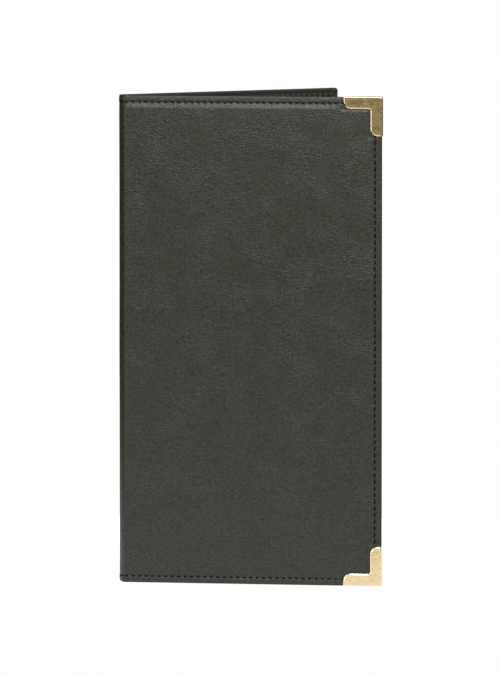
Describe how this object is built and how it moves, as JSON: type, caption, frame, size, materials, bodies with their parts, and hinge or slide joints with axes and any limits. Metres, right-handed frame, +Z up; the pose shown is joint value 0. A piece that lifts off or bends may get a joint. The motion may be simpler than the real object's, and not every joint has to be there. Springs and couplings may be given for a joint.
{
  "type": "check presenter",
  "caption": "Padded folder for a restaurant bill, with a sewn border, metal corner caps on its front cover, and pockets inside.",
  "frame": {"origin": "middle of the folder's footprint at the level it stands on, with the folder open as it stands", "axes": "+Z up along the spine, +X from the spine to the front cover's free edge, front cover facing -Y"},
  "size_m": [0.1408, 0.1032, 0.2552],
  "materials": {
    "leatherette": "satin",
    "lining": "matte",
    "pocket": "matte",
    "greyboard": "matte",
    "foam": "matte",
    "thread": "matte",
    "brass": "polished"
  },
  "bodies": {
    "front_cover": {"front_skin": "leatherette", "front_foam_pad": "foam", "front_board": "greyboard", "front_lining": "lining", "front_pocket": "pocket", "front_pocket_bottom_welt": "pocket", "front_pocket_crease_welt": "pocket", "front_pocket_free_welt": "pocket", "front_pocket_thread": "thread", "front_top_needle_thread": "thread", "front_side_needle_thread": "thread", "front_bottom_needle_thread": "thread", "front_top_bobbin_thread": "thread", "front_side_bobbin_thread": "thread", "front_bottom_bobbin_thread": "thread", "top_corner_cap": "brass", "bottom_corner_cap": "brass"},
    "spine": {"spine_skin": "leatherette", "spine_lining": "lining", "spine_top_needle_thread": "thread", "spine_top_bobbin_thread": "thread", "spine_bottom_needle_thread": "thread", "spine_bottom_bobbin_thread": "thread"},
    "back_cover": {"back_skin": "leatherette", "back_foam_pad": "foam", "back_board": "greyboard", "back_lining": "lining", "back_pocket": "pocket", "back_pocket_bottom_welt": "pocket", "back_pocket_crease_welt": "pocket", "back_pocket_free_welt": "pocket", "back_pocket_thread": "thread", "card_pocket": "pocket", "card_pocket_bottom_welt": "pocket", "card_pocket_crease_welt": "pocket", "card_pocket_free_welt": "pocket", "card_pocket_thread": "thread", "back_needle_thread": "thread", "back_bobbin_thread": "thread"}
  },
  "joints": [
    {"name": "front_crease", "type": "hinge", "parent": "front_cover", "child": "spine", "pos_m": [-0.06619, -0.05025, 0.1276], "axis": [0, 0, 1], "range_deg": [-21.35, 68.65]},
    {"name": "back_crease", "type": "hinge", "parent": "spine", "child": "back_cover", "pos_m": [-0.06998, -0.04057, 0.1276], "axis": [0, 0, 1], "range_deg": [-21.35, 68.65]}
  ],
  "couplings": [
    {"joint": "back_crease", "follows": "front_crease", "ratio": 1}
  ]
}
